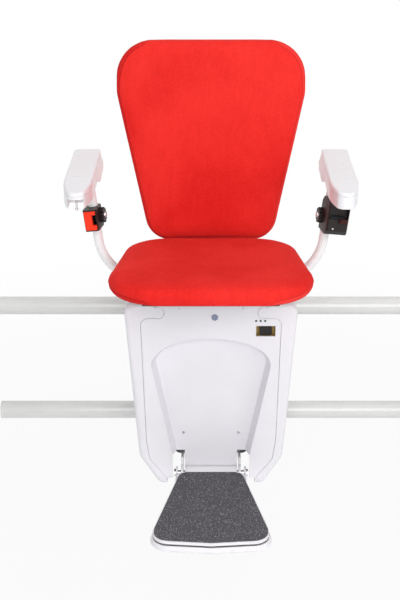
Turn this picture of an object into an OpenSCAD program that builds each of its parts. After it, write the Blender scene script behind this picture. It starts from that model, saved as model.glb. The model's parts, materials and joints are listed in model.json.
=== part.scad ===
// Stairlift chair on a short section of its twin rails.
// Origin on the upper rail's axis in the middle of the chair, the chair faces -Y, Z is up.

/* [Rails] */
// Outer diameter of both rail tubes
rail_d = 44.5; // [42:0.5:48]
// Wall thickness of the rail tubes
rail_wall = 2.6; // [2:0.1:4]
// Distance between the axes of the two rails
rail_spacing = 286; // [276:1:296]
// Length of the rail section
rail_length = 1080; // [1040:10:1400]

/* [Drive] */
// Module of the rack and pinion teeth
tooth_module = 4; // [3.5:0.1:4.5]
// Number of teeth on the drive pinion
pinion_teeth = 16; // [16:1:18]
// Width of the rack across the rail
rack_width = 16; // [14:1:18]
// Radius of a roller where it touches the rail
tread_r = 20; // [18:0.5:22]
// Distance of each roller from the middle of the carriage
roller_x = 70; // [64:1:76]

/* [Cover] */
// Distance of the cover's front face in front of the upper rail's axis
cover_reach = 255; // [250:1:265]
// Height of the cover's top over the upper rail's axis
cover_top = 98; // [96:1:100]
// Width of the cover at its top
cover_width = 395; // [385:1:410]
// Width of the cover above its slanted foot
cover_waist = 337; // [330:1:345]
// Height of the cover from top to foot
cover_height = 457.5; // [450:0.5:465]
// Wall thickness of the moulded covers
cover_wall = 3; // [2.5:0.1:3.5]
// Depth of the footrest recess
recess_depth = 27; // [25:0.5:29]

/* [Footrest] */
// Length of the footrest plate, rear to front
foot_length = 300; // [285:1:305]
// Width of the anti-slip mat at its widest
mat_width = 244; // [236:1:246]
// Height of the mat's surface below the upper rail's axis
foot_drop = 322; // [318:1:326]
// Thickness of the footrest plate
foot_plate = 7; // [6:0.5:8]
// Thickness of the anti-slip mat
mat_thick = 2; // [1.5:0.1:2.5]
// Upward travel of the safety pan
pan_travel = 3; // [2:0.1:4]

/* [Seat] */
// Width of the seat cushion at its widest
seat_width = 442; // [432:1:450]
// Depth of the seat cushion, front to rear
seat_depth = 382; // [370:1:390]
// Thickness of the seat cushion at its edge
cushion_thick = 44; // [40:1:48]
// Thickness of the seat pan
pan_thick = 9.5; // [8:0.5:12]
// Height of the crown of both cushions
crown = 5; // [3:0.5:7]

/* [Backrest] */
// Width of the backrest cushion at its widest
back_width = 437; // [429:1:444]
// Height of the backrest cushion
back_height = 472; // [460:1:490]
// Thickness of the backrest cushion at its edge
back_thick = 42; // [38:1:44]

/* [Arms] */
// Distance of an arm's pivot from the middle of the chair
arm_spread = 282.5; // [278:0.5:290]
// Height of the arm pads' top over the seat cushion
arm_rise = 208; // [198:1:215]
// Length of an arm pad
pad_length = 402; // [390:1:410]
// Width of an arm pad
pad_width = 60; // [58:1:64]
// Outer diameter of the arm tubes
arm_d = 22; // [20:0.5:24]

/* [Hidden] */
$fn = 64;

// Clearances shared by all pieces
cut = 1;           // overrun of a cut past the face that it opens
run_fit = 0.05;    // radial clearance of a pin that turns in its bore
gap = 0.3;         // gap between pieces that move past each other
seam = 0.8;        // visible line between two covers
corner_steps = 8;  // steps in each rounded corner of an outline

// Rails
rail_r = rail_d / 2;
rail_end = rail_length / 2;
rack_rise = 2;
rack_drop = 18;
rack_rear = 34;
rack_inset = 20;
pressure_angle = 20;
backlash = 0.25;
mesh_gap = 0.2;
root_share = 1.25;
tip_share = 0.9;
flank_steps = 4;
tooth_pitch = PI * tooth_module;
rack_root_z = -rail_spacing - rack_drop;
rack_y = rack_rear - rack_width / 2;
rack_pitch_z = rack_root_z - root_share * tooth_module;
pinion_r = tooth_module * pinion_teeth / 2;
pinion_z = rack_pitch_z - pinion_r - mesh_gap;
shaft_r = 9;
shaft_nose = 6;

// Rollers
groove_r = rail_r + gap;
roller_reach = groove_r + tread_r;
rim_r = tread_r + 7;
rim_share = 0.84;
roller_half = groove_r * rim_share;
axle_r = 6;
sleeve_r = 10;
axle_end = 5;
nut_r = 9;
ear_thick = 6;
ear_gap = 1;

// Carriage frame
plate_back = 52;
plate_thick = 6;
plate_half = 118;
plate_neck = 96;
plate_step = 14;
plate_round = 20;
plate_front = -plate_back - plate_thick;
plate_top = 84;
plate_foot = -cover_height + cover_top - 22;
plate_open = -cover_height + cover_top + 5;
deck_thick = 8;
deck_half = 60;
post_y = -150;
deck_front = post_y - 55;
post_r = 32;
post_foot = 50;
post_foot_h = 6;
post_ring = 45;
spindle_r = 18;
spindle_floor = 6;
turn_gap = 3;
deck_top = cover_top - 34;
gusset_x = 48;
gusset_drop = 90;

// Drive unit and batteries
gear_half = 42;
gear_depth = 80;
gear_over = 42;
gear_under = 36;
gear_round = 12;
motor_r = 38;
motor_length = 150;
motor_cap = 24;
motor_cap_r = 30;
battery_size = [65, 151, 94];
battery_x = 86;
battery_drop = 232;
shelf_thick = 4;
shelf_rim = 3;
terminal_r = 4;
terminal_h = 6;
battery_edge = 2;

// Cover outline and its split lines
cover_edge = 12;
edge_steps = 4;
cover_foot = cover_top - cover_height;
foot_half = 122;
leg_half = 104;
leg_rise = 17;
slant_rise = 72;
cover_round = 26;
waist_round = 14;
foot_round = 16;
cover_rear_y = -plate_back + 5;
rear_wall = 3;
panel_foot = cover_foot + leg_rise;
split_top_half = 126;
split_shoulder = 36;
split_step = 32.5;
split_half = split_top_half + split_step;
split_mid_half = 151;
split_mid_drop = 340;
split_low_half = 144;
split_low_drop = 390;
split_round = 16;
split_notch = 3;
hook_r = 14;
hook_x = split_top_half - 7.3;
hook_drop = 22.5;
front_depth = 16;

// Footrest recess, window and holes in the centre panel
arch_half = 137;
arch_rise = 67;
arch_z = cover_top - 151;
arch_steps = 20;
throat_half = 91;
throat_z = arch_z - 229;
wall_slope = 10;
slot_inner = 62;
slot_outer = 91;
slot_top = throat_z;
button_r = 7.2;
button_x = 8.5;
button_z = 65;
button_proud = 2;
button_depth = 11;
light_r = 2.6;
light_z = 56.7;
light_x = 101.5;
light_step = 10.2;
light_count = 3;
light_depth = 10;
window_x = 102;
window_w = 43.5;
window_z = 19.4;
window_h = 25.2;
bezel_wall = 1.8;
bezel_depth = 20;
rocker_half = 14;
rocker_set = 14.5;
rocker_back = 1;
rocker_round = 7;
rocker_dip = 2.2;
rocker_gap = 0.6;
rocker_pin = 2;
board_thick = 1.6;
board_x = [92, 156];
board_z = [8, 74];
pillar_r = 3;
pillar_places = [[98, 69], [150, 68]];
chip_size = [14, 10, 3];
chip_drop = 14;
screw_r = 3.2;
screw_head = 1.6;
screw_proud = 0.4;
shank_r = 1.8;
shank_length = 9;
top_screw_x = 72;
top_screw_drop = 12;
floor_screw_x = 65;
floor_screw_z = -236;

// Footrest
foot_rear_y = -cover_reach - 8;
foot_top = -foot_drop;
foot_y = -cover_reach + 10.5;
foot_z = foot_top - 12.5;
mat_rear_half = 84;
mat_rear_round = 24;
mat_front_round = 34;
mat_side_run = 54;
mat_bow = 8;
plate_lip = 2;
pan_lip = 8;
pan_high = 13;
pan_rear = 40;
pan_edge = 3;
pan_flare = 3.5;
guide_r = 2.5;
guide_clear = 0.1;
guide_length = 6;
guide_places = [[50, 60], [85, 230]];
arm_bar_x = 79;
arm_bar_w = 4;
arm_bar_h = 5;
arm_bar_length = 100;
arm_boss = 15;
gusset_run = 36;
foot_shaft_r = 6;
foot_nut_r = 9;
foot_nut_h = 4;
cheek_x = 66;
cheek_w = 5;
cheek_rise = 32;
cheek_tail = 16;
cheek_behind = 15;
cheek_run = 60;
cheek_under = 17;
cheek_front = 16;
cheek_round = 12;
cheek_nose = 4;
barrel_r = 16;
barrel_half = 61;

// Swivel and seat frame
swivel_z = cover_top + turn_gap;
swivel_thick = 6;
swivel_half = 82;
swivel_front = -270;
swivel_rear = -84;
swivel_round = 20;
frame_rise = 38.5;
frame_base = swivel_z + swivel_thick;
pan_z = frame_base + frame_rise;
cushion_z = pan_z + pan_thick;
seat_top = cushion_z + cushion_thick;
seat_rear_y = -62;
seat_front_y = seat_rear_y - seat_depth;
rail_plate_x = 67;
rail_plate_w = 6;
rail_plate_h = 24;
rail_plate_nose = 18;
hinge_y = -95;
hinge_z = pan_z - 8.5;
eye_r = 8.2;
lug_x = 58;
lug_w = 6;
lug_length = 44;
hinge_r = 4;
hinge_head = 6;
pin_over = 3;
bar_y = -300;
bar_half = 150;
bar_deep = 20;
bar_round = 4;
buffer_x = 120;
buffer_r = 9;
buffer_h = 9;
seat_front_round = 110;
seat_rear_round = 106;
seat_taper = 0.118;
seat_draw = 22;
pan_inset = 44;
lever_y = -250;
lever_x = 86;
lever_length = 118;
lever_r = 5;
lever_pivot_r = 4;
lever_ear = 5;
lever_ear_w = 18;
lever_knob_r = 8;
lever_knob_l = 26;
lever_z = frame_base + 20;

// Backrest
back_front_y = -40;
back_rear_y = back_front_y + back_thick;
back_z = seat_top - 21;
back_top_round = 84;
back_side_round = 80;
back_low_round = 62;
back_top_share = 0.99;
back_side_drop = 120;
back_draw = 12;
back_low_share = 0.674;
shell_thick = 8;
shell_inset = 5;
shell_edge = 3;
bracket_x = 30;
bracket_w = 30;
bracket_thick = 6;
bracket_bend = 14;
bracket_lap = 46;
bracket_top = 270;
bracket_tie = 40;

// Arms
arm_y = -110;
arm_r = arm_d / 2;
collar_r = 15;
collar_w = 8;
arm_z = frame_base + collar_r + gap;
pad_top = seat_top + arm_rise;
pivot_z = pad_top - 33;
arm_lean = 7.1;
low_bend = 60;
low_turn = 45;
high_bend = 110;
high_turn = 90 - low_turn - arm_lean;
bend_x = arm_spread - (pivot_z - arm_z - low_bend * (1 - cos(low_turn))
    - high_bend * (cos(low_turn) - sin(arm_lean))) * tan(arm_lean)
    - low_bend * sin(low_turn) - high_bend * (cos(arm_lean) - sin(low_turn));
weld = 0.5;
weld_rise = 0.15;
knuckle_r = 12;
knuckle_half = 12;
knuckle_neck = 3;
arm_pin_r = 5;
arm_pin_half = 23;
toe_in = 2.6;
pad_rear = 53;
cap_thick = 12;
cap_edge = 4;
pad_rear_round = 9;
nose_flat = 15;
nose_taper = 64;
nose_round = 16;
nose_bow = 380;
pad_depth = 53;
deep_length = 104;
slope_length = 70;
nose_depth = 37;
pad_soft = 26;
pad_flare = 5;
flare_from = 14;
flare_to = 30;
flare_run = 60;
pad_foot_round = 9;
pocket_in = 20.5;
pocket_out = 15;
pocket_front = 46;
pocket_over = 15;
nose_pocket_half = 15.5;
nose_pocket_length = 54;
nose_pocket_high = 18;
stick_r = 2;
stick_tip = 3.4;
stick_length = 27;
stick_y = 30;
stick_ball = 4;
stick_sink = 1.2;

// Belt fittings, in the frame of the tube that carries them
belt_z = 262;
belt_yaw = 8;
buckle_half = 16;
buckle_front = 42;
buckle_back = 15;
buckle_up = 24;
buckle_down = 26;
buckle_round = 6;
key_margin = 2.5;
key_proud = 2;
key_thick = 8;
key_travel = 3;
key_notch = 9;
key_notch_up = 12;
slot_deep = 26;
reel_in = 14.5;
reel_out = 35.5;
reel_front = 60;
reel_back = 13;
reel_up = 48;
reel_down = 31;
reel_round = 6;
reel_yaw = 8;
reel_chin = 12;
reel_nape = 18;
drum_r = 20;
drum_core = 17;
drum_half = 15;
drum_flange = 2;
drum_x = 10.5;
drum_y = -36;
drum_z = -5;
drum_clear = 1.5;
journal_r = 4;
journal_l = 5;
mouth = [-11, 32, 8, 40];
mouth_depth = 14;
tongue_size = [20, 10, 10];
tongue_place = [11, 6];
tongue_round = 4;
bolt_r = 4;
knob_thick = 8.5;
knob_core = 15;
knob_lobes = 9;
lobe_r = 3.6;
lobe_at = 14.5;
dome_r = 6.5;
dome_h = 5;
rivet_r = 2;
rivet_place = [0, -14];
rivet_deep = 6;

// Helpers

// Point moved round the origin by an angle
function turned(p, a) = [p.x * cos(a) - p.y * sin(a), p.x * sin(a) + p.y * cos(a)];
function unit(v) = v / norm(v);
// Arc that rounds the corner b between the points a and c with radius r
function corner(a, b, c, r) =
    r == 0 ? [b] :
    let (u = unit(a - b), w = unit(c - b), half = acos(u * w) / 2,
         centre = b + unit(u + w) * r / sin(half), start = b + u * r / tan(half) - centre,
         way = cross(u, w) > 0 ? -1 : 1)
    [for (i = [0 : corner_steps]) centre + turned(start, way * (180 - 2 * half) * i / corner_steps)];
// Outline through corners given as [x, y, radius]
function outline(c) = let (n = len(c)) [for (i = [0 : n - 1])
    each corner([c[(i + n - 1) % n].x, c[(i + n - 1) % n].y], [c[i].x, c[i].y],
                [c[(i + 1) % n].x, c[(i + 1) % n].y], c[i][2])];
// Corners moved outwards by d, for a list that runs anticlockwise
function normal(a, b) = unit([b.y - a.y, a.x - b.x]);
function grown(c, d) = let (n = len(c)) [for (i = [0 : n - 1])
    let (m = normal(c[(i + n - 1) % n], c[i]), k = normal(c[i], c[(i + 1) % n]),
         t = (m + k) * d / (1 + m * k))
    [c[i].x + t.x, c[i].y + t.y, c[i][2] == 0 ? 0 : c[i][2] + (cross(m, k) > 0 ? d : -d)]];
// Corners of a right half, listed from bottom to top, joined with their mirror image
function both(c) = concat(c, [for (i = [len(c) - 1 : -1 : 0]) [-c[i].x, c[i].y, c[i][2]]]);

module pair() {
    children();
    mirror([1, 0, 0]) children();
}
module rod_x(r, x0, x1, y, z) translate([x0, y, z]) rotate([0, 90, 0]) cylinder(r = r, h = x1 - x0);
module rod_y(r, y0, y1, x, z) translate([x, y0, z]) rotate([-90, 0, 0]) cylinder(r = r, h = y1 - y0);
module rod_z(r, z0, z1, x, y) translate([x, y, z0]) cylinder(r = r, h = z1 - z0);
module block(x, y, z) translate([x[0], y[0], z[0]]) cube([x[1] - x[0], y[1] - y[0], z[1] - z[0]]);
// A profile drawn in X and Z, solid from y0 to y1
module fore(y0, y1) translate([0, y1, 0]) rotate([90, 0, 0]) linear_extrude(y1 - y0) children();
// A profile drawn in Y and Z, solid from x0 to x1
module across(x0, x1) translate([x0, 0, 0]) rotate([90, 0, 90]) linear_extrude(x1 - x0) children();
// A profile drawn in X and Y, solid from z0 to z1
module level(z0, z1) translate([0, 0, z0]) linear_extrude(z1 - z0) children();

// Skin over rings of points that are stacked upwards, closed at both ends
module stacked(rings) {
    n = len(rings[0]);
    m = len(rings);
    low = [for (k = [0 : 2]) [for (p = rings[0]) p[k]] * [for (p = rings[0]) 1] / n];
    high = [for (k = [0 : 2]) [for (p = rings[m - 1]) p[k]] * [for (p = rings[m - 1]) 1] / n];
    polyhedron(
        points = concat([for (r = rings) each r], [low, high]),
        faces = concat(
            [for (k = [0 : m - 2], i = [0 : n - 1]) let (j = (i + 1) % n) each
                [[k * n + i, (k + 1) * n + i, (k + 1) * n + j], [k * n + i, (k + 1) * n + j, k * n + j]]],
            [for (i = [0 : n - 1]) [m * n, i, (i + 1) % n]],
            [for (i = [0 : n - 1]) [m * n + 1, (m - 1) * n + (i + 1) % n, (m - 1) * n + i]]));
}

// Cushion standing on z = 0: drawn in at its foot, full at its side, with a sunk seam and a crown.
// Side shares are of the draw inwards and of the thickness, crown shares of the reach and of the rise.
side_shares = [[1, 0], [0.45, 0.12], [0.14, 0.35], [0, 0.6], [0.1, 0.8], [0.28, 0.91], [0.42, 0.95]];
crown_shares = [[0.03, 0.14], [0.08, 0.44], [0.2, 0.7], [0.42, 0.89], [0.7, 0.98]];
module cushion(shape, thick, rise, draw) {
    n = len(shape);
    middle = [for (k = [0 : 1]) [for (p = shape) p[k]] * [for (p = shape) 1] / n];
    reach = max([for (p = shape) norm(p - middle)]);
    brim = side_shares[len(side_shares) - 1];
    side = [for (s = side_shares) [1 - s[0] * draw / reach, s[1] * thick]];
    top = [for (s = crown_shares) [(1 - brim[0] * draw / reach) * (1 - s[0]),
        brim[1] * thick + ((1 - brim[1]) * thick + rise) * s[1]]];
    stacked([for (s = concat(side, top)) [for (p = shape) [each middle + (p - middle) * s[0], s[1]]]]);
}

// Rails

module rail_tube(z) color("gainsboro") difference() {
    rod_x(rail_r, -rail_end, rail_end, 0, z);
    rod_x(rail_r - rail_wall, -rail_end - cut, rail_end + cut, 0, z);
}
module upper_rail() rail_tube(0);
module lower_rail() rail_tube(-rail_spacing);

rack_teeth = floor((rail_end - rack_inset) / tooth_pitch) - 1;
rack_half = (rack_teeth + 1) * tooth_pitch;
module drive_rack() color("dimgray") difference() {
    root_half = tooth_pitch / 4 + root_share * tooth_module * tan(pressure_angle) - backlash;
    tip_half = tooth_pitch / 4 - tip_share * tooth_module * tan(pressure_angle) - backlash;
    tip_z = rack_pitch_z - tip_share * tooth_module;
    bar_top = -rail_spacing - rack_rise;
    fore(rack_rear - rack_width, rack_rear) polygon(concat(
        [[rack_half, bar_top], [-rack_half, bar_top], [-rack_half, rack_root_z]],
        [for (i = [-rack_teeth : rack_teeth - 1]) let (x = (i + 0.5) * tooth_pitch) each
            [[x - root_half, rack_root_z], [x - tip_half, tip_z], [x + tip_half, tip_z], [x + root_half,
                rack_root_z]]],
        [[rack_half, rack_root_z]]));
    rod_x(rail_r, -rail_end, rail_end, 0, -rail_spacing);
}

// Drive pinion with involute flanks, a tooth upright under the rack's middle space
base_r = pinion_r * cos(pressure_angle);
function involute(r) = r <= base_r ? 0 : sqrt(pow(r / base_r, 2) - 1) * 180 / PI - acos(base_r / r);
function half_tooth(r) = 90 / pinion_teeth - backlash / pinion_r * 180 / PI
    + involute(pinion_r) - involute(r);
module drive_pinion() color("slategray") {
    root_r = pinion_r - root_share * tooth_module;
    tip_r = pinion_r + tip_share * tooth_module;
    radii = concat([root_r], [for (i = [0 : flank_steps]) base_r + (tip_r - base_r) * i / flank_steps]);
    last = len(radii) - 1;
    translate([0, 0, pinion_z]) difference() {
        fore(rack_y - rack_width / 2 + gap,
            rack_y + rack_width / 2 - gap) polygon([for (k = [0 : pinion_teeth - 1])
            let (c = 90 + 360 * k / pinion_teeth) each concat(
                [for (i = [0 : last]) turned([radii[i], 0], c - half_tooth(radii[i]))],
                [for (i = [last : -1 : 0]) turned([radii[i], 0], c + half_tooth(radii[i]))])]);
        rod_y(shaft_r, rack_y - rack_width, rack_y + rack_width, 0, 0);
    }
}
module drive_shaft() color("silver") {
    rod_y(shaft_r, plate_front - gear_depth / 2, rack_rear + shaft_nose, 0, pinion_z);
    rod_y(shaft_r + shaft_nose / 2, rack_rear, rack_rear + shaft_nose / 2, 0, pinion_z);
    rod_y(shaft_r + shaft_nose / 2, rack_rear - rack_width - shaft_nose, rack_rear - rack_width, 0,
        pinion_z);
}

// Rollers

module grooved_wheel() color("darkslategray") rotate_extrude() difference() {
    translate([axle_r + run_fit, -roller_half]) square([rim_r - axle_r - run_fit, 2 * roller_half]);
    translate([roller_reach, 0]) circle(groove_r);
}
module lying_roller(x, z) translate([x, 0, z]) rotate([90, 0, 0]) grooved_wheel();
module standing_roller(x) translate([x, -roller_reach, -rail_spacing]) grooved_wheel();
module top_roller_left() lying_roller(-roller_x, roller_reach);
module top_roller_right() lying_roller(roller_x, roller_reach);
module under_roller_left() lying_roller(-roller_x, -roller_reach);
module under_roller_right() lying_roller(roller_x, -roller_reach);
module thrust_roller_left() standing_roller(-roller_x);
module thrust_roller_right() standing_roller(roller_x);

ear_inner = roller_half + ear_gap;
ear_outer = ear_inner + ear_thick;
module roller_axles() color("silver") pair() {
    for (z = [-roller_reach, roller_reach]) {
        rod_y(axle_r, plate_front, roller_half + ear_gap + axle_end, roller_x, z);
        rod_y(sleeve_r, -plate_back, -roller_half - gap, roller_x, z);
        rod_y(nut_r, plate_front - axle_end, plate_front, roller_x, z);
        rod_y(nut_r, roller_half + gap, roller_half + ear_gap + axle_end, roller_x, z);
    }
    rod_z(axle_r, -rail_spacing - ear_outer, -rail_spacing + ear_outer, roller_x, -roller_reach);
    rod_z(nut_r, -rail_spacing + ear_outer, -rail_spacing + ear_outer + axle_end, roller_x, -roller_reach);
    rod_z(nut_r, -rail_spacing - ear_outer - axle_end, -rail_spacing - ear_outer, roller_x, -roller_reach);
    rod_z(nut_r, -rail_spacing + roller_half + gap, -rail_spacing + ear_inner, roller_x, -roller_reach);
    rod_z(nut_r, -rail_spacing - ear_inner, -rail_spacing - roller_half - gap, roller_x, -roller_reach);
}

// Carriage frame: back plate with roller ears, battery shelves and the deck that carries the seat post

module carriage_frame() color("dimgray") difference() {
    union() {
        difference() {
            fore(plate_front, -plate_back) polygon(outline(both([
                [plate_neck, plate_foot, plate_round], [plate_neck, plate_open, 0],
                [plate_half, plate_open + plate_step, 0], [plate_half, plate_top, plate_round]])));
            pair() fore(plate_front - cut, -plate_back + cut) translate([roller_x, -rail_spacing])
                square([2 * rim_r + 2 * ear_gap, 2 * ear_inner], center = true);
        }
        pair() for (s = [-1, 1]) level(-rail_spacing + (s > 0 ? ear_inner : -ear_outer),
                -rail_spacing + (s > 0 ? ear_outer : -ear_inner)) polygon(outline([
            [roller_x - rim_r, plate_front, 0], [roller_x + rim_r, plate_front, 0],
            [roller_x + nut_r + ear_gap, -roller_reach + nut_r + ear_gap, nut_r],
            [roller_x - nut_r - ear_gap, -roller_reach + nut_r + ear_gap, nut_r]]));
        block([-deck_half, deck_half], [deck_front, plate_front], [deck_top - deck_thick, deck_top]);
        pair() across(gusset_x, gusset_x + ear_thick) polygon([[plate_front, deck_top - deck_thick],
            [plate_front, deck_top - gusset_drop], [deck_front, deck_top - deck_thick]]);
        pair() battery_shelf();
    }
    pair() for (z = [-roller_reach, roller_reach])
        rod_y(axle_r, plate_front - cut, -plate_back + cut, roller_x, z);
    pair() rod_z(axle_r, -rail_spacing - ear_outer - cut, -rail_spacing + ear_outer + cut, roller_x,
        -roller_reach);
    rod_y(shaft_r + gap, plate_front - cut, -plate_back + cut, 0, pinion_z);
}
module battery_shelf() {
    x = [battery_x - shelf_rim - gap, battery_x + battery_size.x + shelf_rim + gap];
    y = [plate_front - battery_size.y - shelf_rim - 2 * gap, plate_front];
    block(x, y, [-battery_drop - shelf_thick, -battery_drop]);
    block(x, [y[0], y[0] + shelf_rim], [-battery_drop, -battery_drop + battery_size.z / 4]);
    block([x[1] - shelf_rim, x[1]], y, [-battery_drop, -battery_drop + battery_size.z / 4]);
}
module batteries() color("black") pair() {
    y0 = plate_front - battery_size.y - gap;
    difference() {
        block([battery_x, battery_x + battery_size.x], [y0, y0 + battery_size.y],
            [-battery_drop, -battery_drop + battery_size.z]);
        block([battery_x + battery_edge, battery_x + battery_size.x - battery_edge],
            [y0 + battery_edge, y0 + battery_size.y - battery_edge],
            [-battery_drop + battery_size.z - battery_edge, -battery_drop + battery_size.z + cut]);
    }
    for (s = [0.15, 0.85]) rod_z(terminal_r, -battery_drop + battery_size.z - battery_edge,
        -battery_drop + battery_size.z - battery_edge + terminal_h, battery_x + battery_size.x / 2,
        y0 + battery_size.y * s);
}
gear_y = plate_front - gear_depth / 2;
module gearbox() color("darkgray") difference() {
    union() {
        fore(plate_front - gear_depth, plate_front) polygon(outline(both([
            [gear_half, pinion_z - gear_under, gear_round], [gear_half, pinion_z + gear_over,
                gear_round]])));
        rod_z(motor_cap_r, pinion_z + gear_over - ear_thick, pinion_z + gear_over + ear_thick, 0, gear_y);
    }
    rod_y(shaft_r + run_fit, gear_y - cut, plate_front + cut, 0, pinion_z);
}
module motor() color("black") {
    z0 = pinion_z + gear_over + ear_thick;
    rod_z(motor_r, z0, z0 + motor_length, 0, gear_y);
    rod_z(motor_cap_r, z0 + motor_length, z0 + motor_length + motor_cap, 0, gear_y);
}

// Covers

cover_corners = both([
    [foot_half, cover_foot, foot_round], [cover_waist / 2, cover_foot + slant_rise, waist_round],
    [cover_width / 2, cover_top, cover_round]]);
// Ring of the cover's outline at depth y, moved in by an inset
function cover_ring(y, inset) = [for (p = outline(grown(cover_corners, -inset))) [p.x, y, p.y]];
// Open tray with a rounded front edge, skinned from the inside of its face over the rear rim to the front
module cover_skin() stacked(concat(
    [cover_ring(-cover_reach + cover_wall, 2 * cover_wall), cover_ring(-cover_reach + 2 * cover_wall,
        cover_wall),
        cover_ring(cover_rear_y, cover_wall)],
    [cover_ring(cover_rear_y, 0)],
    [for (k = [edge_steps : -1 : 0]) let (a = 90 * k / edge_steps)
        cover_ring(-cover_reach + cover_edge * (1 - cos(a)), cover_edge * (1 - sin(a)))]));
// Region of the centre panel in the front view, grown where it is cut from its neighbours
module panel_region(grow, top) difference() {
    polygon(outline(grown(both([
        [leg_half, panel_foot, 0], [split_low_half, cover_top - split_low_drop, split_round],
        [split_mid_half, cover_top - split_mid_drop, split_round],
        [split_half, cover_top - split_shoulder, split_round],
        [split_top_half, cover_top - split_shoulder, split_notch], [split_top_half, top, 0]]), grow)));
    hooks(hook_r - grow);
}
module hooks(r) pair() translate([hook_x, cover_top - hook_drop]) circle(r);
arch = concat([[throat_half, cover_foot - cut, 0], [throat_half, throat_z, 0]],
    [for (i = [0 : arch_steps]) let (a = 180 * i / arch_steps)
        [arch_half * cos(a), arch_z + arch_rise * sin(a), 0]],
    [[-throat_half, throat_z, 0], [-throat_half, cover_foot - cut, 0]]);
// Bay that takes the folded footrest, with sloping walls
module recess(wall, over) {
    slope = wall_slope / recess_depth;
    stacked([for (d = [recess_depth + wall, -over])
        [for (p = grown(arch, wall - slope * d)) [p.x, -cover_reach + d, p.y]]]);
}
module cover_centre() color("white") difference() {
    union() {
        fore(-cover_reach, -cover_reach + cover_wall) panel_region(0, cover_top - cover_edge);
        across(-split_top_half, split_top_half) polygon(outline([
            [-cover_reach, cover_top - split_shoulder, 0], [-cover_reach + cover_wall,
                cover_top - split_shoulder, 0],
            [-cover_reach + cover_wall, cover_top - cover_wall, cover_edge - cover_wall],
            [lid_front - seam, cover_top - cover_wall, 0], [lid_front - seam, cover_top, 0],
            [-cover_reach, cover_top, cover_edge]]));
        intersection() {
            recess(cover_wall, 0);
            block([-cover_width, cover_width], [-2 * cover_reach, 0], [panel_foot, cover_top]);
        }
    }
    recess(0, cut);
    fore(-cover_reach - cut, -cover_reach + front_depth) hooks(hook_r);
    pair() block([slot_inner, slot_outer], [-cover_reach - cut,
        -cover_reach + recess_depth + cover_wall + 2 * cut],
        [panel_foot - cut, slot_top]);
    rod_y(button_r + gap, -cover_reach - cut, -cover_reach + front_depth, button_x, button_z);
    for (i = [0 : light_count - 1])
        rod_y(light_r, -cover_reach - cut, -cover_reach + front_depth, light_x + i * light_step, light_z);
    block([window_x, window_x + window_w], [-cover_reach - cut, -cover_reach + front_depth],
        [window_z, window_z + window_h]);
    screw_places() {
        rod_y(screw_r, -cut, screw_head, 0, 0);
        rod_y(shank_r, 0, shank_length + cut, 0, 0);
    }
}
// Places of the panel's screws, on the face and on the floor of the recess
module screw_places() pair() {
    translate([top_screw_x, -cover_reach, cover_top - top_screw_drop]) children();
    translate([floor_screw_x, -cover_reach + recess_depth, floor_screw_z]) children();
}
module panel_screws() color("silver") screw_places() {
    rod_y(screw_r, -screw_proud, screw_head, 0, 0);
    rod_y(shank_r, screw_head, shank_length, 0, 0);
}
lid_half = split_top_half;
lid_front = -cover_reach + front_depth + seam;
module cover_side() color("white") difference() {
    cover_skin();
    block([-cover_width, 0], [-2 * cover_reach, 0], [2 * cover_foot, 2 * cover_top]);
    block([-cut, leg_half], [-2 * cover_reach, 0], [2 * cover_foot, panel_foot - seam]);
    fore(-cover_reach - cut, -cover_reach + front_depth) panel_region(seam, cover_top + cut);
    block([-cut, lid_half + seam], [lid_front - seam, 0], [cover_top - cover_edge, cover_top + cut]);
    block([-cut, leg_half], [-cover_reach, 0], [cover_foot - cut,
        cover_foot + cover_wall + slant_rise / 4]);
}
module cover_right() cover_side();
module cover_left() mirror([1, 0, 0]) cover_side();
module cover_top() color("white") difference() {
    block([-lid_half, lid_half], [lid_front, cover_rear_y], [cover_top - cover_wall, cover_top]);
    rod_z(post_r + seam, cover_top - cover_wall - cut, cover_top + cut, 0, post_y);
}
module cover_rear() color("white") difference() {
    fore(cover_rear_y - rear_wall, cover_rear_y) polygon(outline(grown(cover_corners, -cover_wall - gap)));
    pair() for (z = [-roller_reach, roller_reach])
        rod_y(sleeve_r + seam, -plate_back - cut, 0, roller_x, z);
    pair() fore(-plate_back - cut, 0) translate([roller_x, -rail_spacing])
        square([2 * rim_r + 2 * ear_gap, 2 * ear_outer + 4 * axle_end], center = true);
    rod_y(shaft_r + shaft_nose, -plate_back - cut, 0, 0, pinion_z);
    block([-gear_half, gear_half], [-plate_back - cut, 0], [2 * cover_foot, pinion_z]);
}

// Lights, button and switch of the centre panel

module status_lights() color("darkgreen") for (i = [0 : light_count - 1]) {
    x = light_x + i * light_step;
    rod_y(light_r, -cover_reach, -cover_reach + light_depth, x, light_z);
    translate([x, -cover_reach, light_z]) intersection() {
        sphere(light_r);
        block([-light_r, light_r], [-light_r, 0], [-light_r, light_r]);
    }
}
module power_button() color("slategray") {
    rod_y(button_r, -cover_reach - button_proud, -cover_reach + button_depth, button_x, button_z);
    rod_y(button_r + button_proud, -cover_reach + cover_wall + gap, -cover_reach + button_depth,
        button_x, button_z);
}
bezel_front = -cover_reach + cover_wall;
bezel_back = bezel_front + bezel_depth;
switch_x = window_x + window_w / 2;
rocker_y = -cover_reach + cover_wall + rocker_set;
module switch_bezel() color("peru") difference() {
    block([window_x - bezel_wall, window_x + window_w + bezel_wall], [bezel_front, bezel_back],
        [window_z - bezel_wall, window_z + window_h + bezel_wall]);
    block([window_x, window_x + window_w], [bezel_front - cut, bezel_back - bezel_wall],
        [window_z, window_z + window_h]);
    rod_z(rocker_pin + run_fit, window_z - bezel_wall - cut, window_z + window_h + bezel_wall + cut,
        switch_x, rocker_y);
}
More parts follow.
